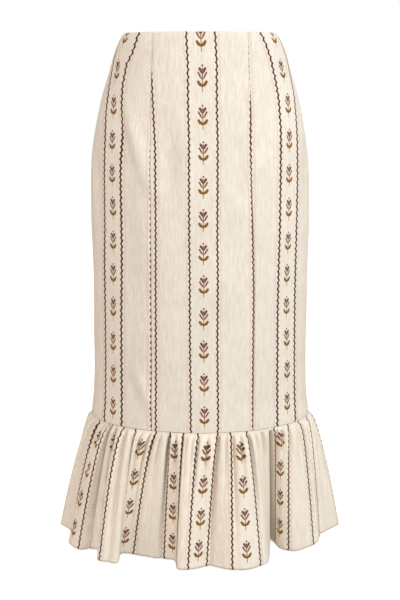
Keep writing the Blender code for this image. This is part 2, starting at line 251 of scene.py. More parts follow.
CENTRE_ROWS = (-11, 51.9, 115.8, 173.7, 229.7, 283.6, 339.5, 393.4, 449.3, 505.2, 563.2, 621.1, 677)
RIGHT_ROWS = (-14, 41.9, 99.9, 157.8, 213.7, 267.6, 325.5, 381.4, 439.3, 501.3, 561.2, 619.1, 677)
LEFT_ROWS = (-14, 41.9, 97.9, 155.8, 213.7, 269.6, 327.5, 383.4, 439.3, 495.3, 553.2, 611.1, 669)

# Direction that no piece of the zip's coil runs in, from which its rings are turned
TUBE_START = np.array([0.31, 0.12, 0.94])

# Most of the way between two printed lines that their kept widths may take up, and how
# far the print runs on past its first and last line
WIDTH_SHARE = 0.94
BEYOND_PRINT = 300.0


def cubic_piece(start: Array, start_run: Array, end: Array, end_run: Array, t: Array) -> Array:
    """Cubic from start to end: start (2t^3 - 3t^2 + 1) + start_run (t^3 - 2t^2 + t)
    + end (3t^2 - 2t^3) + end_run (t^3 - t^2), where a run is a slope times the span."""
    return (start * (2 * t**3 - 3 * t**2 + 1) + start_run * (t**3 - 2 * t**2 + t)
            + end * (3 * t**2 - 2 * t**3) + end_run * (t**3 - t**2))


def smooth_curve(knots: Array, values: Array, where: Array) -> Array:
    """Cubic pieces through a table's rows, their slopes taken over three points.

    Args:
        knots: Rising places of the rows.
        values: Value of each row.
        where: Places to read.

    Returns:
        The curve's value at each place.
    """
    knots, values = np.asarray(knots, float), np.asarray(values, float)
    slopes = np.gradient(values, knots)
    piece = np.clip(np.searchsorted(knots, where, side="right") - 1, 0, len(knots) - 2)
    span = knots[piece + 1] - knots[piece]
    return cubic_piece(values[piece], slopes[piece] * span, values[piece + 1], slopes[piece + 1] * span,
                       (where - knots[piece]) / span)


def row_by_row(where: Array, knots: Array, values: Array) -> Array:
    """Linear interpolation of each row of `where` on its own row of knots and values.

    Args:
        where: Places, rows by columns.
        knots: Rising places of the knots, rows by knots.
        values: Value at each knot, rows by knots.

    Returns:
        Values, rows by columns.
    """
    return np.stack([np.interp(w, k, v) for w, k, v in zip(where, knots, values)])


def spread_across(values: Array, columns: int) -> Array:
    """One value for each row, the same in every column."""
    return np.repeat(values[:, None], columns, axis=1)


def read_table(table: tuple[tuple[float, float], ...], where: Array) -> Array:
    """Linear reading of a table of (place, value) rows at each place."""
    return np.interp(where, [row[0] for row in table], [row[1] for row in table])


def across_the_print(at: Array, lines: Array, values: Array, on_cloth: Array, in_print: Array) -> Array:
    """Distance across the print at each place along the cloth. Round each printed line
    the print keeps a fixed width, which only shrinks where two lines come close, and the
    cloth between shares what is left of it.

    Args:
        at: Places along the cloth, rows by columns.
        lines: Places of the printed lines, rows by lines, rising.
        values: Distance across the print of each line.
        on_cloth: Width kept on the cloth before and after each line, 2 by lines.
        in_print: The same widths in the print.

    Returns:
        Distances across the print, rows by columns.
    """
    room = np.minimum(1.0, WIDTH_SHARE * np.diff(lines, axis=1) / (on_cloth[1, :-1] + on_cloth[0, 1:]))
    open_end = np.ones((len(lines), 1))
    before = lines - on_cloth[0] * np.hstack([open_end, room])
    after = lines + on_cloth[1] * np.hstack([room, open_end])
    knots = np.stack([before, after], axis=2).reshape(len(lines), -1)
    inks = np.stack([values - in_print[0], values + in_print[1]], axis=1).ravel()
    knots = np.hstack([knots[:, :1] - BEYOND_PRINT, knots, knots[:, -1:] + BEYOND_PRINT])
    inks = np.concatenate([[inks[0] - BEYOND_PRINT], inks, [inks[-1] + BEYOND_PRINT]])
    return row_by_row(at, knots, np.tile(inks, (len(lines), 1)))


def even_but_fine_ends(count: int, fineness: float) -> Array:
    """Shares from 0 to 1, closer at both ends: t - fineness * sin(2 pi t) / (2 pi)."""
    t = np.linspace(0.0, 1.0, count)
    return t - fineness * np.sin(FULL_TURN * t) / FULL_TURN


def bell(offset: Array) -> Array:
    """Bell curve: e to the power of minus the offset squared."""
    return np.exp(-offset**2)


def round_noise(turn: Array, down: Array, cells_round: int, cells_down: int, seed: int) -> Array:
    """Soft uneven height from -1 to 1: random values on a lattice that closes on itself
    round the skirt, eased between its points by 3t^2 - 2t^3.

    Args:
        turn: Share of the way round, any real number.
        down: Share of the way down, from 0 to 1.
        cells_round: Lattice cells round.
        cells_down: Lattice cells down.
        seed: Seed of the lattice's values.

    Returns:
        Height at each place.
    """
    lattice = np.random.default_rng(seed).uniform(-1.0, 1.0, (cells_down + 2, cells_round))
    column, row = (turn % 1.0) * cells_round, np.clip(down, 0.0, 1.0) * cells_down
    left, top = np.floor(column).astype(int), np.floor(row).astype(int)
    s, t = column - left, row - top
    s, t = s * s * (3 - 2 * s), t * t * (3 - 2 * t)
    left, right = left % cells_round, (left + 1) % cells_round
    upper = lattice[top, left] * (1 - s) + lattice[top, right] * s
    lower = lattice[top + 1, left] * (1 - s) + lattice[top + 1, right] * s
    return upper * (1 - t) + lower * t


def outward_normals(points: Array) -> Array:
    """Unit normals of a grid whose rows run down and whose columns run from the wearer's
    right to the left over the front: the slope down crossed with the slope across."""
    normal = np.cross(np.gradient(points, axis=0), np.gradient(points, axis=1))
    return normal / np.linalg.norm(normal, axis=2, keepdims=True)


def placed(name: str, data: bpy.types.ID) -> bpy.types.Object:
    """Object that carries a mesh, light or camera, linked to the scene."""
    item = bpy.data.objects.new(name, data)
    bpy.context.scene.collection.objects.link(item)
    return item


def grid_object(name: str, points: Array, maps: dict[str, Array]) -> bpy.types.Object:
    """Open surface through a grid of points.

    Args:
        name: Object's name.
        points: Millimetre points, rows by columns by 3.
        maps: Millimetre coordinates of each UV map, rows by columns by 2.

    Returns:
        The object, linked to the scene.
    """
    rows, columns = points.shape[:2]
    corner = (np.arange(rows - 1)[:, None] * columns + np.arange(columns - 1)).ravel()
    quads = np.stack([corner, corner + columns, corner + columns + 1, corner + 1], axis=1)
    mesh = bpy.data.meshes.new(name)
    mesh.from_pydata((points.reshape(-1, 3) * MM).tolist(), [], quads.tolist())
    loops = np.empty(len(mesh.loops), np.int32)
    mesh.loops.foreach_get("vertex_index", loops)
    for map_name, places in maps.items():
        layer = mesh.uv_layers.new(name=map_name)
        layer.data.foreach_set("uv", (places.reshape(-1, 2)[loops] * MM).astype(np.float32).ravel())
    mesh.shade_smooth()
    return placed(name, mesh)


def tube_object(name: str, path: Array, radius: float, sides: int) -> bpy.types.Object:
    """Round tube along a path, closed at both ends: each ring is the path's point plus
    radius times (side * cos a + up * sin a), square to the path.

    Args:
        name: Object's name.
        path: Millimetre points along the middle, count by 3.
        radius: The tube's radius.
        sides: Corners of a ring.

    Returns:
        The object, linked to the scene.
    """
    along = np.gradient(path, axis=0)
    along /= np.linalg.norm(along, axis=1, keepdims=True)
    side = np.cross(along, TUBE_START)
    side /= np.linalg.norm(side, axis=1, keepdims=True)
    up = np.cross(along, side)
    angle = np.linspace(0.0, FULL_TURN, sides, endpoint=False)[None, :, None]
    rings = path[:, None] + radius * (side[:, None] * np.cos(angle) + up[:, None] * np.sin(angle))
    start = np.arange(len(path) - 1)[:, None] * sides
    here, after = np.arange(sides), (np.arange(sides) + 1) % sides
    quads = np.stack([start + here, start + after, start + sides + after, start + sides + here], axis=2)
    faces = quads.reshape(-1, 4).tolist()
    last = (len(path) - 1) * sides
    faces += [list(range(sides))[::-1], list(range(last, last + sides))]
    mesh = bpy.data.meshes.new(name)
    mesh.from_pydata((rings.reshape(-1, 3) * MM).tolist(), [], faces)
    mesh.shade_smooth()
    return placed(name, mesh)


def sew_in(item: bpy.types.Object, node: str, finishes: list[bpy.types.Material], wall_thickness: float,
           cut: tuple[float, float]) -> None:
    """Gives a sheet its finishes and its wall, built inward, and its solid's place.

    Args:
        item: Open surface, the sheet's outer face.
        node: The solid it replaces.
        finishes: Material of the outer face, then of the inner one where it differs.
        wall_thickness: The cloth's thickness.
        cut: Width and length of its flat cut; not used.
    """
    for finish in finishes:
        item.data.materials.append(finish)
    wall = item.modifiers.new("wall", "SOLIDIFY")
    wall.thickness = wall_thickness * MM
    wall.offset = -1.0
    wall.use_quality_normals = True
    wall.material_offset = len(finishes) - 1
    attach(item, "skirt")
    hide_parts(node)


class Field:
    """Number that varies over a surface; arithmetic on it adds Math nodes."""

    def __init__(self, shader: "Shader", socket: bpy.types.NodeSocket) -> None:
        """Wraps a socket of a shader."""
        self.shader = shader
        self.socket = socket

    def joined(self, operation: str, *values: Any) -> "Field":
        """Math node of that operation on the values, in order."""
        node = self.shader.node("ShaderNodeMath", {"operation": operation}, dict(enumerate(values)))
        return Field(self.shader, node.outputs[0])

    def __add__(self, other: Any) -> "Field":
        """Sum, with a number before or after."""
        return self.joined("ADD", self, other)

    __radd__ = __add__

    def __sub__(self, other: Any) -> "Field":
        """Difference."""
        return self.joined("SUBTRACT", self, other)

    def __rsub__(self, other: Any) -> "Field":
        """Difference from a number."""
        return self.joined("SUBTRACT", other, self)

    def __mul__(self, other: Any) -> "Field":
        """Product, with a number before or after."""
        return self.joined("MULTIPLY", self, other)

    __rmul__ = __mul__

    def __truediv__(self, other: Any) -> "Field":
        """Quotient."""
        return self.joined("DIVIDE", self, other)

    def __abs__(self) -> "Field":
        """Size without its sign."""
        return self.joined("ABSOLUTE", self)

    def sine(self) -> "Field":
        """Sine of radians."""
        return self.joined("SINE", self)

    def root(self) -> "Field":
        """Square root."""
        return self.joined("SQRT", self)

    def floor(self) -> "Field":
        """Whole number at or below."""
        return self.joined("FLOOR", self)

    def least(self, other: Any) -> "Field":
        """Smaller of two."""
        return self.joined("MINIMUM", self, other)

    def most(self, other: Any) -> "Field":
        """Larger of two."""
        return self.joined("MAXIMUM", self, other)

    def fade(self, start: float, end: float) -> "Field":
        """Eased step: 0 before start and 1 past end, or the other way round."""
        node = self.shader.node("ShaderNodeMapRange", {"interpolation_type": "SMOOTHSTEP", "clamp": True},
                                {"Value": self, "From Min": start, "From Max": end})
        return Field(self.shader, node.outputs["Result"])


class Shader:
    """One material's nodes."""

    def __init__(self, name: str) -> None:
        """Makes the material, with its Principled shader."""
        self.material = bpy.data.materials.new(name)
        self.material.use_nodes = True
        self.tree = self.material.node_tree
        self.surface = self.tree.nodes["Principled BSDF"]

    def feed(self, socket: bpy.types.NodeSocket, value: Any) -> None:
        """Links a field or socket to a socket, or sets a plain value on it."""
        value = value.socket if isinstance(value, Field) else value
        if isinstance(value, bpy.types.NodeSocket):
            self.tree.links.new(value, socket)
        else:
            socket.default_value = value

    def finish(self, values: dict[str, Any]) -> bpy.types.Material:
        """Feeds the Principled shader's sockets by their names and gives the material."""
        for name, value in values.items():
            self.feed(self.surface.inputs[name], value)
        return self.material

    def node(self, kind: str, settings: dict[str, Any] | None = None,
             values: dict[Any, Any] | None = None) -> bpy.types.Node:
        """Adds a node.

        Args:
            kind: Node's type.
            settings: Properties, set first.
            values: Value or link of each input, by its name or number.

        Returns:
            The node.
        """
        node = self.tree.nodes.new(kind)
        for name, value in (settings or {}).items():
            setattr(node, name, value)
        for key, value in (values or {}).items():
            self.feed(node.inputs[key], value)
        return node

    def cloth_places(self, map_name: str) -> tuple[Field, Field]:
        """The two coordinates of a UV map, in millimetres."""
        split = self.node("ShaderNodeSeparateXYZ", values={
            0: self.node("ShaderNodeUVMap", {"uv_map": map_name}).outputs[0]})
        return Field(self, split.outputs[0]) * 1000.0, Field(self, split.outputs[1]) * 1000.0

    def grain(self, scale: float, detail: float) -> Field:
        """Noise from 0 to 1 on the piece's own object coordinates, by its cells a metre."""
        place = self.node("ShaderNodeTexCoord").outputs["Object"]
        node = self.node("ShaderNodeTexNoise", values={"Vector": place, "Scale": scale, "Detail": detail})
        return Field(self, node.outputs[0])

    def noise(self, across: Any, down: Any, detail: float, roughness: float = 0.5) -> Field:
        """Noise from 0 to 1 on two coordinates counted in its own cells."""
        place = self.node("ShaderNodeCombineXYZ", values={0: across, 1: down})
        cells = {"Vector": place.outputs[0], "Scale": 1.0, "Detail": detail, "Roughness": roughness}
        node = self.node("ShaderNodeTexNoise", {"noise_dimensions": "2D"}, cells)
        return Field(self, node.outputs[0])

    def blend(self, share: Any, under: Any, over: Any) -> bpy.types.NodeSocket:
        """Colour `over` laid on `under` by a share from 0 to 1."""
        return self.node("ShaderNodeMix", {"data_type": "RGBA"}, {0: share, 6: under, 7: over}).outputs[2]

    def relief(self, height: Field) -> None:
        """Feeds the normal with a height in millimetres."""
        bump = self.node("ShaderNodeBump", values={"Strength": 1.0, "Distance": MM, "Height": height})
        self.feed(self.surface.inputs["Normal"], bump.outputs[0])


def shade(red: int, green: int, blue: int) -> tuple[float, float, float, float]:
    """Linear colour of a screen colour: ((c / 255 + 0.055) / 1.055) to the power 2.4."""
    return (*(((c / 255 + 0.055) / 1.055) ** 2.4 for c in (red, green, blue)), 1.0)


@dataclass(frozen=True)
class FolkPrint:
    """Common folk stripe: sprigs one above another between two wavy lines, in a repeat
    across and down, with faint dots beside the lines."""

    repeat_across: float = 106.0
    repeat_down: float = 56.0
    wave_at: float = 23.4
    wave_swing: float = 0.90
    wave_scallop: float = 0.14
    wave_period: float = 10.13
    wave_half: float = 1.28
    wave_bead: float = 0.36
    wave_band: float = 2.8
    dots_band: float = 7.0
    sprig_band: float = 8.9
    dots_at: float = 5.2
    dots_swing: float = 0.9
    dots_period: float = 6.4
    dots_strength: float = 0.6
    row_start: float = 3.0
    wave_edge: float = 0.35
    stroke_edge: float = 0.4
    halo_reach: float = 2.8
    line_ink: tuple[float, ...] = shade(82, 44, 34)
    halo_ink: tuple[float, ...] = shade(236, 200, 158)
    dots_ink: tuple[float, ...] = shade(206, 160, 148)
    inks: tuple[Ink, ...] = (
        Ink(shade(142, 102, 92), 0.0, (Stroke(0.0, 6.6, 0.0, 10.5, 1.7, 0.6),)),
        Ink(shade(150, 108, 84), 0.0, (Stroke(0.0, 19.5, 0.0, 28.0, 0.75, 0.75),)),
        Ink(shade(156, 140, 120), 0.0, (Stroke(0.0, 30.5, 0.0, 37.5, 0.9, 0.85),)),
        Ink(shade(136, 98, 88), 0.0, (Stroke(0.0, 12.0, 0.0, 19.5, 1.15, 0.8),)),
        Ink(shade(112, 80, 68), 0.2,
            (Stroke(6.6, 11.2, 3.1, 17.4, 1.35, 1.35), Stroke(3.1, 17.4, 0.8, 20.5, 1.0, 0.5))),
        Ink(shade(118, 88, 48), 0.6,
            (Stroke(6.7, 24.0, 4.3, 27.4, 2.0, 2.4), Stroke(4.3, 27.4, 0.0, 29.9, 2.4, 1.6))),
        Ink(shade(106, 70, 62), 0.2, (Stroke(4.3, 5.8, 1.2, 11.6, 2.1, 1.2),)),
        Ink(shade(110, 84, 74), 0.0, (Stroke(0.0, 1.4, 0.0, 1.6, 1.6, 1.6),)),
    )

    def across_cloth(self, at: Array, lines: Array, values: tuple[float, ...] | Array,
                     shown: tuple[float, ...] | Array, spread: float) -> Array:
        """Lays waves and sprigs along the cloth.

        Args:
            at: Places along the cloth, rows by columns.
            lines: Places of the printed lines, rows by lines.
            values: Distance across the print of each line; whole repeats are sprigs.
            shown: Share of each line's width that shows.
            spread: How much broader a wave lies on the cloth than in the print.

        Returns:
            Distances across the print, rows by columns.
        """
        values = np.array(values, float)
        from_sprig = values - self.repeat_across * np.round(values / self.repeat_across)
        is_sprig = np.abs(from_sprig) < 1.0
        outer_side = np.stack([from_sprig < 0.0, from_sprig > 0.0])
        wave_widths = np.where(outer_side, self.dots_band, self.wave_band)
        in_print = np.where(is_sprig, self.sprig_band, wave_widths)
        on_cloth = np.where(is_sprig, self.sprig_band, wave_widths * spread) * np.array(shown, float)
        return across_the_print(at, lines, values, on_cloth, in_print)

    def reach(self, across: Field, down: Field, strokes: tuple[Stroke, ...]) -> Field:
        """Distance outside the nearest of some strokes, below nought inside one: how far
        the point is from the stroke's line, less the radius there.

        Args:
            across: Distance from the sprig's axis.
            down: Distance down from its top.
            strokes: The strokes of one half.

        Returns:
            The distance.
        """
        nearest: Field | None = None
        for stroke in strokes:
            run, fall = stroke.x1 - stroke.x0, stroke.y1 - stroke.y0
            square = run * run + fall * fall
            share = (across - stroke.x0) * (run / square) + (down - stroke.y0) * (fall / square)
            share = share.most(0.0).least(1.0)
            aside, astray = across - stroke.x0 - share * run, down - stroke.y0 - share * fall
            outside = (aside * aside + astray * astray).root() - stroke.r0 - share * (stroke.r1 - stroke.r0)
            nearest = outside if nearest is None else nearest.least(outside)
        return nearest

    def lay(self, shader: Shader, cloth: bpy.types.NodeSocket,
            strength: float) -> tuple[bpy.types.NodeSocket, Field]:
        """Prints the pattern on a cloth colour.

        Args:
            shader: Material's nodes; its cloth carries the UV map "print".
            cloth: Colour of the plain cloth.
            strength: Share of the inks that shows.

        Returns:
            The printed colour, and how inked each place is, from 0 to 1.
        """
        across, down = shader.cloth_places("print")
        across = abs(across - self.repeat_across * (across / self.repeat_across + 0.5).floor())
        row = down - self.repeat_down * ((down + self.row_start) / self.repeat_down).floor()
        turn = (down * (FULL_TURN / self.wave_period)).sine()
        swing = turn * self.wave_swing + turn * turn * (2 * self.wave_scallop) - self.wave_scallop
        beaded = abs(across - self.wave_at + swing) - turn * turn * self.wave_bead
        inked = beaded.fade(self.wave_half + self.wave_edge, self.wave_half - self.wave_edge)
        zigzag = (down * (FULL_TURN / self.dots_period)).sine()
        beside = abs(across - self.wave_at - self.dots_at - zigzag * self.dots_swing).fade(1.4, 0.3)
        dots = beside * (0.25 + 0.75 * abs(zigzag))
        colour = shader.blend(dots * (self.dots_strength * strength), cloth, self.dots_ink)
        gaps = [self.reach(across, row, ink.strokes) for ink in self.inks]
        for gap, ink in zip(gaps, self.inks):
            if ink.halo > 0.0:
                halo = gap.fade(self.halo_reach, 0.0) * (ink.halo * strength)
                colour = shader.blend(halo, colour, self.halo_ink)
        colour = shader.blend(inked * strength, colour, self.line_ink)
        for gap, ink in zip(gaps, self.inks):
            mask = gap.fade(self.stroke_edge, -self.stroke_edge)
            colour = shader.blend(mask * strength, colour, ink.colour)
            inked = inked.most(mask)
        return colour, inked


@dataclass(frozen=True)
class CrinkledLinen:
    """Washed cream linen: a plain weave with slubs and long uneven wrinkles. Cells are
    counted a millimetre, across and down, reliefs are heights, and the hem's places are
    distances up from its edge."""

    cloth: tuple[float, ...] = shade(223, 215, 198)
    # shadow and light: painted shade in the wrinkles' troughs and painted light on their crests, also spread
    # by random slub and patch tone
    shadow: tuple[float, ...] = shade(213, 202, 183)
    light: tuple[float, ...] = shade(231, 225, 210)
    thread: float = 0.62
    weave_relief: float = 0.05
    wrinkle_cells: tuple[float, float] = (0.20, 0.042)
    fine_cells: tuple[float, float] = (0.52, 0.21)
    slub_cells: tuple[float, float] = (0.05, 1.35)
    patch_cells: tuple[float, float] = (0.014, 0.011)
    crinkle_relief: float = 1.20
    fine_crinkle_relief: float = 0.64
    slub_relief: float = 0.10
    thread_relief: float = 0.12
    stitch_relief: float = 0.04
    stitch_pitch: float = 1.1
    hem_turned: tuple[float, float] = (14.4, 13.4)
    hem_relief: float = 0.28
    prick_top: tuple[float, float] = (14.6, 14.0)
    prick_foot: tuple[float, float] = (12.6, 13.4)
    prick_pitch: float = 7.0
    prick_relief: float = 0.3
    roughness: float = 0.88
    sheen: float = 0.02
    gloss: float = 0.12
    pattern: FolkPrint = FolkPrint()

    def material(self, name: str, face: ClothFace, hem_at: float | None = None) -> bpy.types.Material:
        """Material of one face of a piece that carries the UV maps "cloth" and "print".

        Args:
            name: Material's name.
            face: Which face of the cloth.
            hem_at: Distance down the cloth to its hem's edge, where it has one.

        Returns:
            The material.
        """
        shader = Shader(name)
        u, v = shader.cloth_places("cloth")
        long_slub, short_slub = self.slub_cells
        wrinkles = shader.noise(u * self.wrinkle_cells[0], v * self.wrinkle_cells[1], 3.0, 0.55)
        fine = shader.noise(u * self.fine_cells[0], v * self.fine_cells[1], 2.0, 0.6)
        slubs = (shader.noise(u * long_slub, v * short_slub, 1.0) * 0.5
                 + shader.noise(u * short_slub, v * long_slub, 1.0) * 0.5)
        patches = shader.noise(u * self.patch_cells[0], v * self.patch_cells[1], 2.0)
        # Painted shade and light: darker in the wrinkles' troughs and lighter on their crests, from the same
        # noise as their relief, mixed with random slub and patch tone
        trough_shade_and_tone = (wrinkles * 0.5 + slubs * 0.3 + patches * 0.2).fade(0.34, 0.66)
        colour = shader.blend(trough_shade_and_tone, self.shadow, self.light)
        colour = shader.blend(0.45, colour, self.cloth)
        colour, inked = self.pattern.lay(shader, colour, face.value)
        turn = math.pi / self.thread
        weave = (u * turn).sine() * (v * turn).sine()
        stitch = ((u + v) * (FULL_TURN / self.stitch_pitch)).sine() * inked
        height = (weave * self.weave_relief + wrinkles * self.crinkle_relief + fine * self.fine_crinkle_relief
                  + slubs * self.slub_relief + inked * self.thread_relief + stitch * self.stitch_relief)
        if hem_at is not None:
            turned, top, foot = (v.fade(hem_at - start, hem_at - end)
                                 for start, end in (self.hem_turned, self.prick_top, self.prick_foot))
            pricks = top * foot * (u * (FULL_TURN / self.prick_pitch)).sine().fade(0.55, 0.95)
            height = height + turned * self.hem_relief - pricks * self.prick_relief
        shader.relief(height)
        return shader.finish({"Base Color": colour, "Roughness": self.roughness - 0.1 * inked,
                              "Sheen Weight": self.sheen, "Sheen Tint": self.cloth,
                              "Specular IOR Level": self.gloss})

    def both_faces(self, name: str, hem_at: float | None = None) -> list[bpy.types.Material]:
        """Materials of a piece's outer and inner face, named after the piece."""
        return [self.material(f"{name}_{face.name.lower()}", face, hem_at) for face in ClothFace]


@dataclass(frozen=True)
class WovenTape:
    """Cream twill tape of the zip, with painted shade in the valleys between its ribs."""

    cloth: tuple[float, ...] = shade(226, 214, 192)
    valley: tuple[float, ...] = shade(208, 194, 170)
    rib: float = 0.9

    def material(self, name: str) -> bpy.types.Material:
        """Material of a tape that carries the UV map "cloth"."""
        shader = Shader(name)
        u, v = shader.cloth_places("cloth")
        ribs = ((u + v * 0.5) * (FULL_TURN / self.rib)).sine()
        # Painted shade: the colour darkens in the ribs' valleys, where the relief is low
        colour = shader.blend(ribs * 0.5 + 0.5, self.valley, self.cloth)
        shader.relief(ribs * 0.08 + shader.noise(u * 0.8, v * 0.8, 2.0) * 0.1)
        return shader.finish({"Base Color": colour, "Roughness": 0.84 + 0.06 * ribs})


@dataclass(frozen=True)
class PaintedMetal:
    """Cream paint on the zip's metal, a little worn where fingers rub it."""

    paint: tuple[float, ...] = shade(228, 214, 186)
    worn: tuple[float, ...] = shade(190, 176, 148)
    roughness: float = 0.34
    coat: float = 0.3

    def material(self, name: str) -> bpy.types.Material:
        """Material on object coordinates."""
        shader = Shader(name)
        grain = shader.grain(900.0, 3.0)
        rubbed = grain.fade(0.58, 0.72)
        shader.relief(grain * 0.02)
        return shader.finish({"Base Color": shader.blend(rubbed, self.paint, self.worn),
                              "Roughness": self.roughness + 0.2 * rubbed,
                              "Metallic": 0.25 + 0.5 * rubbed, "Coat Weight": self.coat})


@dataclass(frozen=True)
class NylonCoil:
    """Milky nylon of the zip's teeth."""

    nylon: tuple[float, ...] = shade(224, 214, 196)
    cloudy: tuple[float, ...] = shade(206, 194, 172)

    def material(self, name: str) -> bpy.types.Material:
        """Material on object coordinates."""
        shader = Shader(name)
        cloud = shader.grain(300.0, 1.0)
        return shader.finish({"Base Color": shader.blend(cloud, self.cloudy, self.nylon),
                              "Roughness": 0.32 + 0.12 * cloud})


@dataclass(frozen=True)
class PaleBoard:
    """Matt white board, lit from behind."""

    paint: tuple[float, ...] = (0.93, 0.93, 0.93, 1.0)
    dull: tuple[float, ...] = (0.92, 0.92, 0.92, 1.0)
    lit: tuple[float, ...] = (1.0, 1.0, 1.0, 1.0)
    glow: float = 0.62

    def material(self, name: str) -> bpy.types.Material:
        """Material on object coordinates."""
        shader = Shader(name)
        cloud = shader.grain(3.0, 2.0)
        return shader.finish({"Base Color": shader.blend(cloud, self.dull, self.paint),
                              "Roughness": 0.85 + 0.1 * cloud, "Specular IOR Level": 0.1,
                              "Emission Color": self.lit, "Emission Strength": self.glow})


@dataclass
class SkirtForm:
    """Plan of the skirt: the body's rings, its seams' places and the hem's folded line."""

    ring_samples: int = 1440
    fold_samples: int = 24
    column_easing: float = 9.0
    easing_steps: int = 7

    def points_on(self, below: Array, points: Array, girth: Array, at: Array) -> Array:
        """Points of the body's plain outer face at places along its cloth.

        Args:
            below: Distance below the waist, one for each row.
            points: The rings' points, rows by samples by 2.
            girth: Their distances along the cloth, rows by samples.
            at: Places along the cloth, rows by columns.

        Returns:
            Points, rows by columns by 3.
        """
        return np.stack([row_by_row(at, girth, points[:, :, 0]), row_by_row(at, girth, points[:, :, 1]),
                         spread_across(-below, at.shape[1])], axis=2)

    def section(self, name: str, below: Array) -> Array:
        """A size of the body's plan at each distance below the waist."""
        return smooth_curve([row.below for row in SECTIONS], [getattr(row, name) for row in SECTIONS], below)

    def rings(self, below: Array) -> tuple[Array, Array]:
        """Rings round the body's outer face, from the centre back past the wearer's right
        and the centre front: across = half width * sin(a)^(2/n) and back = -depth *
        cos(a)^(2/n), both powers keeping their sign, for a from -pi to pi.

        Args:
            below: Distances below the waist.

        Returns:
            Points, rows by samples by 2, and the distances along the cloth from the
            centre front, rows by samples.
        """
        turn = np.linspace(-math.pi, math.pi, self.ring_samples + 1)[None, :]
        power = (2.0 / self.section("exponent", below))[:, None]
        across = np.sign(np.sin(turn)) * np.abs(np.sin(turn)) ** power
        back = -np.sign(np.cos(turn)) * np.abs(np.cos(turn)) ** power
        front, behind = (self.section(name, below)[:, None] for name in ("front", "back"))
        depth = np.where(back < 0, front, behind)
        points = np.stack([across * self.section("half_width", below)[:, None], back * depth], axis=2)
        steps = np.linalg.norm(np.diff(points, axis=1), axis=2)
        girth = np.concatenate([np.zeros((len(below), 1)), np.cumsum(steps, axis=1)], axis=1)
        return points, girth - girth[:, self.ring_samples // 2, None]

    def seam_lines(self, below: Array, points: Array, girth: Array) -> Array:
        """Places along the cloth of the centre back, the right side seam, the two
        princess seams, the left side seam and the centre back again, rows by 6."""
        quarter = self.ring_samples // 4
        front = slice(quarter, 3 * quarter + 1)
        knots = [row.below for row in PRINCESS_SEAMS]
        across = np.stack([-smooth_curve(knots, [row.right for row in PRINCESS_SEAMS], below),
                           smooth_curve(knots, [row.left for row in PRINCESS_SEAMS], below)], axis=1)
        princess = row_by_row(across, points[:, front, 0], girth[:, front])
        return np.stack([girth[:, 0], girth[:, quarter], princess[:, 0], princess[:, 1],
                         girth[:, -1 - quarter], girth[:, -1]], axis=1)

    def hem(self) -> tuple[Array, Array]:
        """Folded hem line: cubic pieces through the folds' turning points, each sloped
        along its neighbours.

        Returns:
            Points, count by 2, and the distances along it from the centre front.
        """
        turns = np.array(HEM_FOLDS, float).reshape(-1, 2)
        after = np.roll(turns, -1, axis=0)
        length = np.linalg.norm(after - turns, axis=1)[:, None]
        before_length = np.roll(length, 1, axis=0)
        slope_after = (after - turns) / length
        slope_before = np.roll(slope_after, 1, axis=0)
        tangent = (slope_after * before_length + slope_before * length) / (length + before_length)
        t = np.linspace(0.0, 1.0, self.fold_samples, endpoint=False)[None, :, None]
        start, end, span = turns[:, None], after[:, None], length[:, None]
        tangent_after = np.roll(tangent, -1, axis=0)
        ring = cubic_piece(start, tangent[:, None] * span, end, tangent_after[:, None] * span, t)
        ring = ring.reshape(-1, 2)
        ring = np.concatenate([ring, ring[:1]])
        girth = np.concatenate([[0.0], np.cumsum(np.linalg.norm(np.diff(ring, axis=0), axis=1))])
        in_front = np.where(ring[:, 1] < 0)[0]
        centre = in_front[np.argmin(np.abs(ring[in_front, 0]))]
        return ring, girth - girth[centre]

    def hem_places(self, seam_at: Array, seam_length: float, hem_length: float) -> Array:
        """Where each place along the flounce's seam falls along its hem: the table of
        columns, run round the ring and averaged over a short way to both sides."""
        seam_knots = np.array([row.seam_at for row in FLOUNCE_COLUMNS], float)
        hem_knots = np.array([row.hem_at for row in FLOUNCE_COLUMNS], float)
        seam_knots = np.append(seam_knots, seam_knots[0] + seam_length)
        hem_knots = np.append(hem_knots, hem_knots[0] + hem_length)
        reach = np.linspace(-self.column_easing, self.column_easing, self.easing_steps)
        near = np.asarray(seam_at, float)[..., None] + reach
        turns = np.floor((near - seam_knots[0]) / seam_length)
        places = np.interp(near - turns * seam_length, seam_knots, hem_knots) + turns * hem_length
        return places.mean(axis=-1)


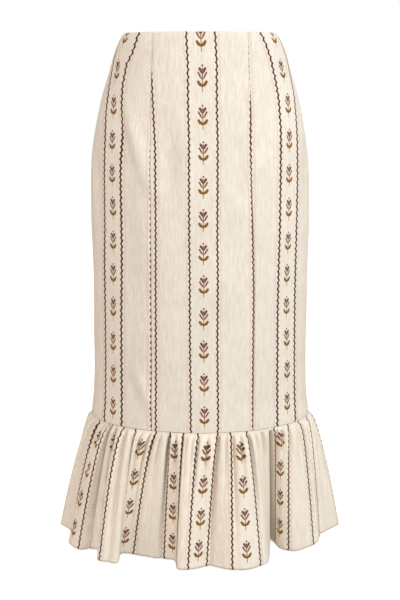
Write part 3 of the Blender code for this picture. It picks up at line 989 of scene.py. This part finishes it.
@dataclass
class SkirtBody:
    """The five panels of the body: two at the back, two at the front's sides and the
    centre front, with pressed seams, creases and a soft uneven crinkle."""

    form: SkirtForm
    finish: CrinkledLinen
    rows: int = 224
    cell_across: float = 2.4
    end_fineness: float = 0.5
    seam_dip: float = 0.75
    seam_dip_width: float = 2.4
    zip_dip: float = 0.25
    pucker: float = 0.22
    pucker_length: float = 13.0
    pucker_width: float = 11.0
    pucker_drift: float = 1.3
    pucker_drift_turn: float = 0.041
    zip_flat: float = 0.85
    zip_flat_width: float = 16.0
    zip_end: float = 225.0
    wave_height: float = 0.75
    wave_cells: tuple[int, int] = (26, 5)
    wave_seed: int = 11
    ripple_height: float = 0.30
    ripple_cells: tuple[int, int] = (84, 14)
    ripple_seed: int = 12
    edge_roll: float = 0.8
    edge_roll_width: float = 2.6
    bottom_roll: float = 0.05
    bottom_roll_width: float = 3.2
    side_wave_spread: float = 1.35
    side_sprig: float = 0.82
    back_band_at: float = 53.0
    names: tuple[str, ...] = ("back_panel_right", "front_side_panel_right", "front_centre_panel",
                              "front_side_panel_left", "back_panel_left")

    def creased(self, below: Array, at: Array, girth: Array, seams: Array) -> Array:
        """Height of the cloth above its plain form: the creases, each height times a bell
        across it and (1 - t^2)^2 along it, the long waves and ripples, the dips at the
        seams and the roll at the waist's and the bottom's edges.

        Args:
            below: Distance below the waist, rows by 1.
            at: Place along the cloth from the centre front, rows by columns.
            girth: Whole length of the ring, rows by 1.
            seams: Places of the seams, rows by 6.

        Returns:
            Height in millimetres, rows by columns.
        """
        height = np.zeros_like(at)
        for crease in BODY_CREASES:
            along = np.clip((below - crease.below) / crease.half_length, -1.0, 1.0)
            across = (at - crease.at - crease.lean * (below - crease.below)) / crease.half_width
            height += crease.height * bell(across) * (1 - along**2) ** 2
        turn, down = at / girth + 0.5, below / BODY_LENGTH + 0.0 * at
        height += self.wave_height * round_noise(turn, down, *self.wave_cells, self.wave_seed)
        height += self.ripple_height * round_noise(turn, down, *self.ripple_cells, self.ripple_seed)
        for order, seam in enumerate(np.moveaxis(seams, 1, 0)):
            aside = np.abs(at - seam[:, None])
            at_zip = order in (0, len(self.names))
            drift = self.pucker_drift * np.sin(below * self.pucker_drift_turn + order)
            ripple = np.sin(FULL_TURN * below / self.pucker_length + drift)
            height -= (self.zip_dip if at_zip else self.seam_dip) * bell(aside / self.seam_dip_width)
            height += (0.0 if at_zip else self.pucker) * ripple * bell(aside / self.pucker_width)
            if at_zip:
                height *= 1.0 - self.zip_flat * bell(aside / self.zip_flat_width) * (below < self.zip_end)
        return height - (self.edge_roll * bell(below / self.edge_roll_width)
                         + self.bottom_roll * bell((BODY_LENGTH - below) / self.bottom_roll_width))

    def print_places(self, order: int, below: Array, at: Array, seams: Array) -> Array:
        """Where each place of a panel lies in the print.

        Args:
            order: Number of the panel, from the wearer's right back.
            below: Distance below the waist, one for each row.
            at: Place along the cloth from the centre front, rows by columns.
            seams: Places of the seams, rows by 6.

        Returns:
            Distances across and down the print, rows by columns by 2.
        """
        pattern = self.finish.pattern
        half, beyond = pattern.wave_at, pattern.repeat_across - pattern.wave_at
        tops, spread = RIGHT_ROWS, 1.0
        if order == 2:
            middle = read_table(CENTRE_SPRIGS, below)
            lines = [read_table(CENTRE_RIGHT_WAVE, below), middle - half, middle, middle + half,
                     read_table(CENTRE_LEFT_WAVE, below)]
            values, tops = (-beyond, -half, 0.0, half, beyond), CENTRE_ROWS
            shown = (1.0,) * 5
        elif order == 1:
            lines = [read_table(table, below)
                     for table in (RIGHT_OUTER_WAVE, RIGHT_SPRIGS, RIGHT_INNER_WAVE, RIGHT_HALF_WAVE)]
            values, spread = (-half, 0.0, half, beyond), self.side_wave_spread
            shown = (1.0, self.side_sprig, 1.0, 1.0)
        elif order == 3:
            lines = [read_table(table, below)
                     for table in (LEFT_HALF_WAVE, LEFT_INNER_WAVE, LEFT_SPRIGS, LEFT_OUTER_WAVE)]
            values, spread, tops = (-beyond, -half, 0.0, half), self.side_wave_spread, LEFT_ROWS
            shown = (1.0, 1.0, self.side_sprig, 1.0)
        else:
            middle = seams[:, 0] + self.back_band_at if order == 0 else seams[:, -1] - self.back_band_at
            lines = [middle - half, middle, middle + half]
            values, shown = (-half, 0.0, half), (1.0,) * 3
        down = np.interp(below, tops, np.arange(len(tops)) * pattern.repeat_down)
        across = pattern.across_cloth(at, np.stack(lines, axis=1), values, shown, spread)
        return np.stack([across, spread_across(down, at.shape[1])], axis=2)

    def build(self) -> list[bpy.types.Object]:
        """Makes the panels.

        Returns:
            The five objects, from the wearer's right back.
        """
        below = BODY_LENGTH * even_but_fine_ends(self.rows, self.end_fineness)
        points, girth = self.form.rings(below)
        seams = self.form.seam_lines(below, points, girth)
        panels = []
        for order, name in enumerate(self.names):
            start, end = seams[:, order] + SEAM_GAP / 2, seams[:, order + 1] - SEAM_GAP / 2
            columns = int(np.mean(end - start) / self.cell_across) + 1
            share = even_but_fine_ends(columns, self.end_fineness)[None, :]
            at = start[:, None] + (end - start)[:, None] * share
            surface = self.form.points_on(below, points, girth, at)
            height = self.creased(below[:, None], at, (girth[:, -1] - girth[:, 0])[:, None], seams)
            surface += outward_normals(surface) * height[:, :, None]
            maps = {"cloth": np.stack([at, spread_across(below, columns)], axis=2),
                    "print": self.print_places(order, below, at, seams)}
            panel = grid_object(f"linen_{name}", surface, maps)
            sew_in(panel, name, self.finish.both_faces(panel.name), CLOTH_WALL,
                   (float(np.mean(end - start)), BODY_LENGTH))
            panels.append(panel)
            LOG.info("panel %s: %d by %d points", name, len(below), columns)
        return panels


@dataclass
class GatheredFlounce:
    """The flounce's front and back pieces: gathered on the body's seam with pinched
    valleys of uneven depth, and opening into the hem's broad folds."""

    form: SkirtForm
    finish: CrinkledLinen
    columns: int = 532
    rows: int = 74
    row_fineness: float = 1.3
    stand: float = 0.02
    ledge: float = 1.0
    flare: float = 0.68
    tuck: float = 0.15
    rise: float = 4.5
    tuck_rise: float = 2.5
    puff: float = 0.20
    puff_power: float = 3.2
    back_runs: int = 4
    back_room: tuple[float, float] = (6.0, 13.0)
    side_place: float = 263.4
    wave_spread: float = 1.0
    back_bands: int = 9
    back_band_from: float = 279.0
    back_wave_at: float = 13.0
    first_sprig: float = 0.062
    sprig_step: float = 0.24

    def gathers(self, seam_length: float) -> tuple[Array, Array, Array]:
        """All the gathers in order round the seam, those of the back run on in one
        uneven sequence and stretched to close the ring.

        Args:
            seam_length: Length of the seam.

        Returns:
            Place, depth and reach of each.
        """
        front = np.array(FRONT_GATHERS, float)
        run = np.tile(np.array(BACK_GATHER_RUN, float), (self.back_runs, 1))
        room = front[0, 0] + seam_length - front[-1, 0]
        places = np.cumsum(run[:, 0])
        count = int(np.searchsorted(places, room - self.back_room[0]))
        back = run[:count].copy()
        back[:, 0] = front[-1, 0] + places[:count] * (room - self.back_room[1]) / places[count - 1]
        every = np.concatenate([front, back])
        return every[:, 0], every[:, 1], every[:, 2]

    def gathered(self, seam_at: Array, fall: Array, seam_length: float) -> Array:
        """Height of the gathers: between two valleys the cloth puffs by 1 - |2t - 1| to the
        puff's power, and falls to each valley's own depth, which fades down the flounce
        by a bell as wide as its reach. Just under the seam all of it starts from nought.

        Args:
            seam_at: Place along the seam, one for each column.
            fall: Share of the way down below the stand, one for each row.
            seam_length: Length of the seam.

        Returns:
            Height in millimetres, rows by columns.
        """
        place, depth, reach = self.gathers(seam_length)
        inside = (seam_at - place[0]) % seam_length
        starts = place - place[0]
        before = np.searchsorted(starts, inside, side="right") - 1
        after = (before + 1) % len(starts)
        width = np.where(after == 0, seam_length, starts[after]) - starts[before]
        t = ((inside - starts[before]) / width)[None, :]
        puff = 1.0 - np.abs(2 * t - 1) ** self.puff_power
        fades = bell(fall[:, None] / reach[None, :])
        left, right = (depth * fades)[:, before], (depth * fades)[:, after]
        valley = left * (1 - t) + right * t
        lasting = fades[:, before] * (1 - t) + fades[:, after] * t
        rise = (1.0 - np.exp(-fall * FLOUNCE_LENGTH / self.rise))[:, None]
        return rise * (puff * self.puff * width[None, :] * lasting - (1 - puff) * valley)

    def print_places(self, seam_at: Array, hem_at: Array, blend: Array, down: Array,
                     seam_length: float, hem_length: float) -> Array:
        """Where each place lies in the print: sprigs and waves keep their width on the
        ridges, and the gathers take up the cloth between them.

        Args:
            seam_at: Place along the seam, one for each column.
            hem_at: Place along the hem, one for each column.
            blend: Share of the way from the seam's line to the hem's, one for each row.
            down: Share of the flounce's height, one for each row.
            seam_length: Length of the seam.
            hem_length: Length of the hem.

        Returns:
            Distances across and down the print, rows by columns by 2.
        """
        pattern = self.finish.pattern
        middles = np.linspace(self.back_band_from, seam_length - self.back_band_from, self.back_bands)
        back = [Band(m - self.back_wave_at, m, m + self.back_wave_at, 0, 1) for m in middles]
        bands = np.array([*FLOUNCE_BANDS, *back], float)
        turn = np.array([seam_length] * 3 + [0.0, 0.0])
        bands = np.concatenate([bands - turn, bands, bands + turn])
        seam_lines = bands[:, :3].ravel()
        hem_lines = self.form.hem_places(seam_lines, seam_length, hem_length)
        lines = seam_lines[None] + (hem_lines - seam_lines)[None] * blend[:, None]
        offsets = np.array([-pattern.wave_at, 0.0, pattern.wave_at])
        values = (pattern.repeat_across * np.arange(len(bands))[:, None] + offsets).ravel()
        shown = np.stack([np.ones(len(bands)), bands[:, 4], np.ones(len(bands))], axis=1).ravel()
        at = seam_at[None] + (hem_at - seam_at)[None] * blend[:, None]
        across = pattern.across_cloth(at, lines, values, shown, self.wave_spread)
        lifts = row_by_row(at, lines, np.tile(np.repeat(bands[:, 3], 3), (len(blend), 1)))
        rows = (down - self.first_sprig) / self.sprig_step * pattern.repeat_down
        return np.stack([across, rows[:, None] + lifts], axis=2)

    def build(self) -> list[bpy.types.Object]:
        """Makes the two pieces, joined at the sides: each point runs from the seam's line
        to the hem's by fall^flare, plus the gathers' height outward.

        Returns:
            The front and the back object.
        """
        ring, girth = self.form.rings(np.array([BODY_LENGTH]))
        ring, girth = ring[0], girth[0]
        seam_length = float(girth[-1] - girth[0])
        hem, hem_girth = self.form.hem()
        hem_length = float(hem_girth[-1] - hem_girth[0])
        down = np.linspace(0.0, 1.0, self.rows) ** self.row_fineness
        fall = np.maximum(0.0, down - self.stand) / (1.0 - self.stand)
        blend = fall**self.flare

        def on_ring(line: Array, lengths: Array, where: Array) -> Array:
            """Points at those distances along a closed line."""
            where = (where - lengths[0]) % (lengths[-1] - lengths[0]) + lengths[0]
            return np.stack([np.interp(where, lengths, line[:, axis]) for axis in range(2)], axis=-1)

        pieces = []
        starts = {"flounce_front": self.side_place - seam_length / 2, "flounce_back": self.side_place}
        for name, first in starts.items():
            seam_at = np.linspace(first + SEAM_GAP / 2, first + seam_length / 2 - SEAM_GAP / 2, self.columns)
            hem_at = self.form.hem_places(seam_at, seam_length, hem_length)
            top, bottom = on_ring(ring, girth, seam_at), on_ring(hem, hem_girth, hem_at)
            along = on_ring(ring, girth, seam_at + 1.0) - on_ring(ring, girth, seam_at - 1.0)
            along /= np.linalg.norm(along, axis=1, keepdims=True)
            outward = np.stack([along[:, 1], -along[:, 0]], axis=1)
            free = 1.0 - np.exp(-down * FLOUNCE_LENGTH / self.tuck_rise)
            ledge = self.ledge * (1.0 - fall) * free - self.tuck * (1.0 - free)
            push = self.gathered(seam_at, fall, seam_length) + ledge[:, None]
            plan = top[None] + (bottom - top)[None] * blend[:, None, None] + outward[None] * push[:, :, None]
            height = -(BODY_LENGTH + SEAM_GAP + down * (FLOUNCE_LENGTH - SEAM_GAP))
            surface = np.concatenate([plan, np.broadcast_to(height[:, None, None], (*push.shape, 1))], axis=2)
            cloth_down = spread_across(down * FLOUNCE_LENGTH, self.columns)
            maps = {"cloth": np.stack([np.repeat(hem_at[None], self.rows, axis=0), cloth_down], axis=2),
                    "print": self.print_places(seam_at, hem_at, blend, down, seam_length, hem_length)}
            piece = grid_object(f"linen_{name}", surface, maps)
            sew_in(piece, name, self.finish.both_faces(piece.name, FLOUNCE_LENGTH), CLOTH_WALL,
                   (float(hem_at[-1] - hem_at[0]), FLOUNCE_LENGTH))
            pieces.append(piece)
            LOG.info("%s: %d by %d points", name, self.rows, self.columns)
        return pieces


@dataclass
class BackZip:
    """Concealed zip at the centre back: two tapes inside with their nylon teeth, and the
    painted slider and pull outside, whose shape is the frame's own."""

    form: SkirtForm
    nodes: dict[str, bpy.types.Object]
    tape: WovenTape = WovenTape()
    paint: PaintedMetal = PaintedMetal()
    coil: NylonCoil = NylonCoil()
    tape_width: float = 12.0
    tape_top: float = 4.0
    tape_length: float = 205.0
    tape_depth: float = 1.8
    tape_wall: float = 0.9
    tooth_pitch: float = 1.4
    tooth_reach: float = 0.85
    tooth_drop: float = 0.7
    tooth_wire: float = 0.3
    tooth_depth: float = 3.6
    turn_points: int = 10
    tooth_sides: int = 5
    teeth_short: float = 8.0
    teeth_from: float = 2.0
    teeth_spare: float = 5.0
    tape_edge: float = 0.05
    edge_near: float = 0.6
    edge_far: float = 1.6
    rows: int = 90
    columns: int = 8

    def tape_surface(self, side: Side, depth: float, near: float, far: float,
                     columns: int) -> tuple[Array, Array]:
        """Surface inside the back panel's face, between two distances from its centre
        back edge.

        Args:
            side: Side of the skirt.
            depth: Distance inside the panel's outer face.
            near: Distance of its near edge from the centre back.
            far: Distance of its far edge.
            columns: Points across.

        Returns:
            Points, rows by columns by 3, and the places on the tape, by 2.
        """
        below = np.linspace(self.tape_top, self.tape_top + self.tape_length, self.rows)
        points, girth = self.form.rings(below)
        offset = np.linspace(near, far, columns)
        at = girth[:, :1] + offset if side is Side.RIGHT else girth[:, -1:] - offset[::-1]
        surface = self.form.points_on(below, points, girth, at)
        surface -= outward_normals(surface) * depth
        places = np.stack([np.repeat(offset[None], self.rows, axis=0), spread_across(below, columns)], axis=2)
        return surface, places

    def build(self) -> list[bpy.types.Object]:
        """Makes both tapes and their teeth, and paints the slider and its pull.

        Returns:
            The new objects.
        """
        made = []
        for side in Side:
            word = side.name.lower()
            near = SEAM_GAP / 2 + self.tape_edge
            surface, places = self.tape_surface(side, self.tape_depth, near, self.tape_width, self.columns)
            tape = grid_object(f"zip_twill_{word}", surface, {"cloth": places})
            sew_in(tape, f"zip_tape_{word}", [self.tape.material(tape.name)], self.tape_wall,
                   (self.tape_width, self.tape_length))
            made += [tape, self.teeth(side)]
            LOG.info("zip tape and teeth, %s", word)
        for name in ("zip_slider", "zip_pull"):
            node = self.nodes[name]
            finish = self.paint.material(f"{name}_paint")
            for slot in node.material_slots:
                slot.material = finish
            LOG.info("painted %s", name)
        return made

    def teeth(self, side: Side) -> bpy.types.Object:
        """One row of teeth, a coil along the tape's edge: across = middle + reach * cos a,
        deep = drop * sin a, and one pitch down for each turn.

        Args:
            side: Side of the skirt.

        Returns:
            The coil.
        """
        turns = int((self.tape_length - self.teeth_short) / self.tooth_pitch)
        angle = np.linspace(0.0, FULL_TURN * turns, turns * self.turn_points)
        edge, _ = self.tape_surface(side, self.tooth_depth, self.edge_near, self.edge_far, 2)
        line = edge[:, 0] if side is Side.RIGHT else edge[:, 1]
        row = self.teeth_from + (len(line) - self.teeth_spare) * angle / angle[-1]
        path = np.stack([np.interp(row, np.arange(len(line)), line[:, axis]) for axis in range(3)], axis=1)
        path[:, 0] = side.value * (1.0 + self.tooth_reach * (0.25 + np.cos(angle)) * 0.75)
        path[:, 1] += self.tooth_drop * 0.6 * np.sin(angle)
        teeth = tube_object(f"zip_coil_{side.name.lower()}", path, self.tooth_wire, self.tooth_sides)
        teeth.data.materials.append(self.coil.material(teeth.name))
        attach(teeth, "skirt")
        return teeth


class SoftBox(NamedTuple):
    """Square light facing the skirt: degrees round it from the front towards the wearer's
    left, degrees above it, distance and size in metres, watts and linear colour."""

    name: str
    round_at: float
    above: float
    distance: float
    size: float
    power: float
    colour: tuple[float, float, float]


@dataclass
class Studio:
    """Camera at the photograph's angle, soft lights from the front and both sides, and a
    lit white board as the floor."""

    focal_pixels: float = 990.0
    frame_pixels: float = 600.0
    sensor: float = 36.0
    stand: tuple[float, float, float] = (0.0, -1.740, -0.083)
    tilt_down: float = 12.3
    middle: tuple[float, float, float] = (0.0, 0.0, -0.45)
    floor_below: float = 0.90
    floor_reach: float = 14.0
    floor_corners: int = 97
    floor_rings: int = 7
    room_light: float = 0.48
    room_colour: tuple[float, ...] = (1.0, 0.885, 0.84, 1.0)
    boxes: tuple[SoftBox, ...] = (
        SoftBox("front_box", -4.0, 35.0, 5.2, 2.4, 129.0, (0.95, 1.015, 1.085)),
        SoftBox("left_side_box", 58.0, 26.0, 3.0, 1.1, 48.0, (0.96, 1.015, 1.10)),
        SoftBox("right_side_box", -62.0, 8.0, 3.1, 1.8, 22.5, (1.0, 0.82, 0.79)),
        SoftBox("back_box", 176.0, 24.0, 3.3, 1.6, 42.0, (1.0, 0.98, 0.96)),
    )

    def camera(self) -> None:
        """Adds the camera and makes it the scene's own."""
        lens = bpy.data.cameras.new("studio_camera")
        lens.sensor_fit = "AUTO"
        lens.sensor_width = self.sensor
        lens.lens = self.focal_pixels / self.frame_pixels * self.sensor
        lens.clip_start, lens.clip_end = 0.01, 100.0
        camera = placed("studio_camera", lens)
        camera.location = self.stand
        camera.rotation_euler = (math.radians(90.0 - self.tilt_down), 0.0, 0.0)
        bpy.context.scene.camera = camera

    def soft_box(self, box: SoftBox) -> None:
        """Area light at its distance from the skirt's middle, in the direction (sin r cos a,
        -cos r cos a, sin a) of its angles round it and above it.

        Args:
            box: The light's place, size and colour.
        """
        lamp = bpy.data.lights.new(box.name, "AREA")
        lamp.shape = "SQUARE"
        lamp.size, lamp.energy, lamp.color = box.size, box.power, box.colour
        light = placed(box.name, lamp)
        turn, above = math.radians(box.round_at), math.radians(box.above)
        away = Vector((math.sin(turn) * math.cos(above), -math.cos(turn) * math.cos(above), math.sin(above)))
        light.location = Vector(self.middle) + away * box.distance
        light.rotation_euler = (-away).to_track_quat("-Z", "Y").to_euler()

    def build(self) -> None:
        """Sets the camera, the lights, the white surroundings and the floor."""
        self.camera()
        for box in self.boxes:
            self.soft_box(box)
        self.surroundings()
        view = bpy.context.scene.view_settings
        view.view_transform = "Standard"
        view.look = "None"
        view.exposure = 0.0
        self.floor()

    def surroundings(self) -> None:
        """World: plain white to look at, and a softer warm white as light."""
        world = bpy.data.worlds.new("studio")
        world.use_nodes = True
        tree = world.node_tree
        warm = tree.nodes["Background"]
        warm.inputs["Color"].default_value = self.room_colour
        warm.inputs["Strength"].default_value = self.room_light
        plain = tree.nodes.new("ShaderNodeBackground")
        plain.inputs["Color"].default_value = (1.0, 1.0, 1.0, 1.0)
        seen = tree.nodes.new("ShaderNodeLightPath")
        either = tree.nodes.new("ShaderNodeMixShader")
        tree.links.new(seen.outputs["Is Camera Ray"], either.inputs[0])
        tree.links.new(warm.outputs[0], either.inputs[1])
        tree.links.new(plain.outputs[0], either.inputs[2])
        tree.links.new(either.outputs[0], tree.nodes["World Output"].inputs["Surface"])
        bpy.context.scene.world = world

    def floor(self) -> None:
        """Level round board under the hem: radius times (cos a, sin a)."""
        angle = np.linspace(0.0, FULL_TURN, self.floor_corners)[None, :]
        radius = np.linspace(0.001, self.floor_reach, self.floor_rings)[:, None] * 1000.0
        level = np.full((self.floor_rings, self.floor_corners), -self.floor_below * 1000.0)
        board = np.stack([radius * np.cos(angle), radius * np.sin(angle), level], axis=2)
        floor = grid_object("studio_floor", board, {})
        floor.data.materials.append(PaleBoard().material("pale_board"))
        floor.visible_diffuse = False


def main() -> None:
    """Dresses the frame and sets the studio."""
    logging.basicConfig(level=logging.INFO, format="%(name)s: %(message)s")
    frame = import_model()
    form = SkirtForm()
    linen = CrinkledLinen()
    # Same linen as the body's, its colours painted lighter for the light on the flounce's ridges and warmer
    # for the warm shade in its folds
    flounce_linen_painted_lighter_warmer = CrinkledLinen(cloth=shade(228, 219, 200), shadow=shade(217, 205, 183),
                                   light=shade(237, 229, 213))
    Studio().build()
    SkirtBody(form, linen).build()
    GatheredFlounce(form, flounce_linen_painted_lighter_warmer).build()
    BackZip(form, frame["nodes"]).build()
    LOG.info("dressed")


if __name__ == "__main__":
    main()
